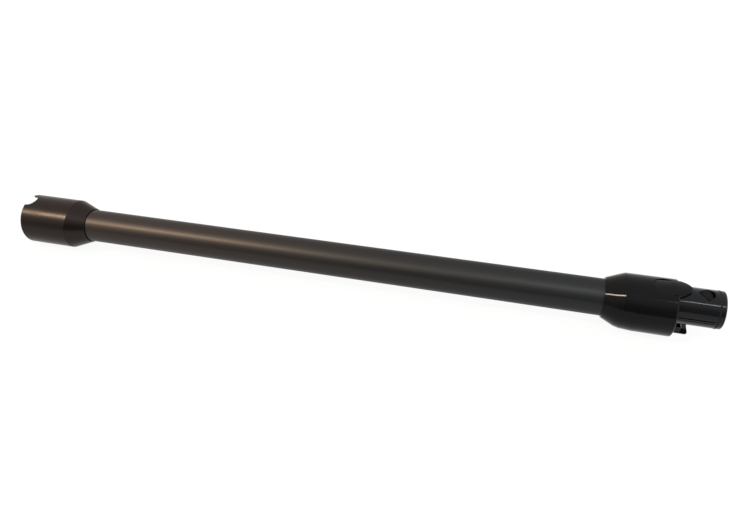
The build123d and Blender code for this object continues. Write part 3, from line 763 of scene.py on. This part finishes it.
@dataclass
class ReleaseLatch:
    """Release button, the latch under it, its pin and its spring."""

    joint: str = "release_press"
    spring_wire: float = 0.5 * MILLIMETRE
    spring_turns: float = 5.0
    spring_kept: float = 0.85
    turn_points: int = 40
    wire_sides: int = 12
    finishes: dict[str, Finish] = field(default_factory=lambda: {
        "release_button": BUTTON_FINISH,
        "latch_lever": LATCH_FINISH,
        "latch_pin": STEEL_FINISH,
        "latch_spring": STEEL_FINISH,
    })

    def build(self) -> None:
        """Dresses the latch and makes its spring."""
        dress(self.finishes)
        self.make_spring()

    def make_spring(self) -> bpy.types.Object:
        """Makes the coil of round wire with flat end turns.

        Returns:
            The piece.
        """
        low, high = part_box("latch_spring")
        middle = (low + high) / 2
        tree = ShapeTree("latch_spring_shape")
        wire = tree.size("Wire radius", self.spring_wire / 2)
        coil = tree.size("Coil radius", (high.x - low.x - self.spring_wire) / 2)
        height = tree.size("Height", high.z - low.z - self.spring_wire)
        turns = tree.size("Turns", self.spring_turns)
        foot = tree.point("Foot", (middle.x, middle.y, low.z + self.spring_wire / 2))
        inputs = {"Resolution": self.turn_points, "Rotations": turns, "Start Radius": coil,
                  "End Radius": coil, "Height": height}
        path = tree.shape("GeometryNodeCurveSpiral", inputs)
        along = tree.add("GeometryNodeSplineParameter", {}).outputs["Factor"]
        rise = tree.shape("ShaderNodeMapRange", {"Value": along, "To Max": height},
                          interpolation_type=Easing.SOFT.value)
        spot = tree.shape("GeometryNodeInputPosition", {})
        flat = tree.add("ShaderNodeSeparateXYZ", {0: spot}).outputs
        inputs = {"Geometry": path, "Position": tree.triple(flat[0], flat[1], rise)}
        closed = tree.shape("GeometryNodeSetPosition", inputs)
        inputs = {"Resolution": self.wire_sides, "Radius": wire}
        section = tree.shape("GeometryNodeCurvePrimitiveCircle", inputs)
        inputs = {"Curve": closed, "Profile Curve": section, "Fill Caps": True}
        coiled = tree.shift(tree.shape("GeometryNodeCurveToMesh", inputs), foot)
        piece = tree.make(coiled, "coiled_latch_spring", STEEL_FINISH)
        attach(piece, Body.TUBE.value)
        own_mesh(piece)
        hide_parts("latch_spring")
        return piece


@dataclass
class Lamp:
    """One soft lamp that faces the middle of the tube, with its width along the tube."""

    name: str
    direction: Triple
    distance: float
    width: float
    height: float
    radiance: float
    colour: Colour

    def make(self) -> bpy.types.Object:
        """Makes the lamp."""
        light = bpy.data.lights.new(self.name, "AREA")
        light.shape = "RECTANGLE"
        light.size = self.width
        light.size_y = self.height
        light.color = self.colour
        light.energy = self.radiance * math.pi * self.width * self.height
        lamp = bpy.data.objects.new(self.name, light)
        bpy.context.scene.collection.objects.link(lamp)
        back = Vector(self.direction).normalized()
        along = Vector((1.0, 0.0, 0.0))
        right = (along - along.dot(back) * back).normalized()
        turn = Matrix((right, back.cross(right), back)).transposed()
        lamp.matrix_world = Matrix.Translation(back * self.distance) @ turn.to_4x4()
        lamp.visible_camera = False
        log.info("made %s", self.name)
        return lamp


@dataclass
class Studio:
    """Pale floor, soft sky, lamps and the camera.

    Each reach of the sky runs along one axis of the direction that is looked in, from -1 to 1.
    """

    floor_half: float = 30.0
    floor_paint: Colour = (0.9, 0.9, 0.9)
    floor_white: float = 0.93
    horizon: float = 0.9
    zenith: float = 1.1
    rise_reach: Reach = (0.1, 0.95)
    front_shade: float = 0.25
    front_reach: Reach = (-0.97, -0.55)
    right_wall: float = 3.0
    wall_start: Reach = (0.45, 0.65)
    wall_end: Reach = (0.8, 0.93)
    warm_side: Colour = (1.05, 0.98, 0.92)
    cool_side: Colour = (0.95, 0.98, 1.0)
    side_reach: Reach = (-0.6, 0.25)
    camera_place: Triple = (0.18865, -0.4791, 0.4661)
    camera_right: Triple = (0.96502, 0.25800, -0.04664)
    camera_up: Triple = (-0.13485, 0.64101, 0.75561)
    camera_back: Triple = (0.22483, -0.72289, 0.65337)
    lens: float = 31.68
    sensor: float = 36.0
    lamps: tuple[Lamp, ...] = (
        Lamp("warm_lamp", (-0.565, -0.349, 0.748), distance=20.0, width=6.2, height=1.5,
             radiance=68.0, colour=(1.0, 0.87, 0.64)),
        Lamp("cool_lamp", (0.272, -0.405, 0.873), distance=20.0, width=1.9, height=0.9,
             radiance=28.0, colour=(0.86, 0.93, 1.0)),
        Lamp("over_lamp", (0.226, -0.360, 0.906), distance=1.56, width=0.075, height=0.15,
             radiance=52.0, colour=(0.90, 0.98, 1.0)),
    )

    def make(self) -> None:
        """Makes everything that isn't part of the tube."""
        bpy.context.scene.view_settings.view_transform = "Standard"
        self.make_floor()
        self.make_world()
        for lamp in self.lamps:
            lamp.make()
        self.make_camera()

    def make_floor(self) -> None:
        """Makes the floor, white to the eye and in reflections, which still takes a shadow."""
        half = self.floor_half
        mesh = bpy.data.meshes.new("floor")
        corners = [(-half, -half, 0), (half, -half, 0), (half, half, 0), (-half, half, 0)]
        mesh.from_pydata(corners, [], [(0, 1, 2, 3)])
        floor = bpy.data.objects.new("floor", mesh)
        bpy.context.scene.collection.objects.link(floor)
        material = bpy.data.materials.new("floor_pale")
        material.use_nodes = True
        tree = material.node_tree
        tree.nodes.clear()
        output = tree.nodes.new("ShaderNodeOutputMaterial")
        mix = tree.nodes.new("ShaderNodeMixShader")
        paint = tree.nodes.new("ShaderNodeBsdfDiffuse")
        paint.inputs["Color"].default_value = (*self.floor_paint, 1.0)
        glow = tree.nodes.new("ShaderNodeEmission")
        share = work_out(tree, "MULTIPLY", seen_directly(tree), self.floor_white)
        for place, source in enumerate((share, paint.outputs[0], glow.outputs[0])):
            tree.links.new(source, mix.inputs[place])
        tree.links.new(mix.outputs[0], output.inputs["Surface"])
        mesh.materials.append(material)

    def make_world(self) -> None:
        """Makes a soft sky: shaded low in front, warm left, cool right, with a bright wall."""
        world = bpy.data.worlds.new("soft_room")
        bpy.context.scene.world = world
        world.use_nodes = True
        tree = world.node_tree
        tree.nodes.clear()
        output = tree.nodes.new("ShaderNodeOutputWorld")
        room = tree.nodes.new("ShaderNodeBackground")
        coordinates = tree.nodes.new("ShaderNodeTexCoord")
        parts = tree.nodes.new("ShaderNodeSeparateXYZ")
        tree.links.new(coordinates.outputs["Generated"], parts.inputs[0])
        across, depth, up = parts.outputs
        strength = ramp(tree, up, self.rise_reach, (self.horizon, self.zenith))
        for factor in (
            ramp(tree, depth, self.front_reach, (self.front_shade, 1.0)),
            ramp(tree, across, self.wall_start, (1.0, self.right_wall)),
            ramp(tree, across, self.wall_end, (1.0, 1.0 / self.right_wall)),
        ):
            strength = work_out(tree, "MULTIPLY", strength, factor)
        side = ramp(tree, across, self.side_reach, (0.0, 1.0))
        colour = mix_colours(tree, side, self.warm_side, self.cool_side)
        tree.links.new(colour, room.inputs["Color"])
        tree.links.new(strength, room.inputs["Strength"])
        tree.links.new(room.outputs[0], output.inputs["Surface"])

    def make_camera(self) -> None:
        """Makes the camera at the photograph's place."""
        camera = bpy.data.cameras.new("camera")
        camera.lens = self.lens
        camera.sensor_width = self.sensor
        holder = bpy.data.objects.new("camera", camera)
        bpy.context.scene.collection.objects.link(holder)
        turn = Matrix((self.camera_right, self.camera_up, self.camera_back)).transposed()
        holder.matrix_world = Matrix.Translation(self.camera_place) @ turn.to_4x4()
        bpy.context.scene.camera = holder


def seen_directly(tree: bpy.types.NodeTree) -> Socket:
    """Tells rays of the camera and of reflections from those that light the tube.

    Args:
        tree: Node tree to add to.

    Returns:
        A value socket, 1 for camera, glossy and transmission rays and 0 for the others.
    """
    path = tree.nodes.new("ShaderNodeLightPath")
    total = path.outputs["Is Camera Ray"]
    for name in ("Is Glossy Ray", "Is Transmission Ray"):
        total = work_out(tree, "MAXIMUM", total, path.outputs[name])
    return total


def main() -> None:
    """Builds the scene in order."""
    logging.basicConfig(level=logging.INFO)
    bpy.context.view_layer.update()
    TubeRun().build()
    SocketCuff().build()
    SpigotEnd().build()
    ReleaseLatch().build()
    Studio().make()


if __name__ == "__main__":
    main()
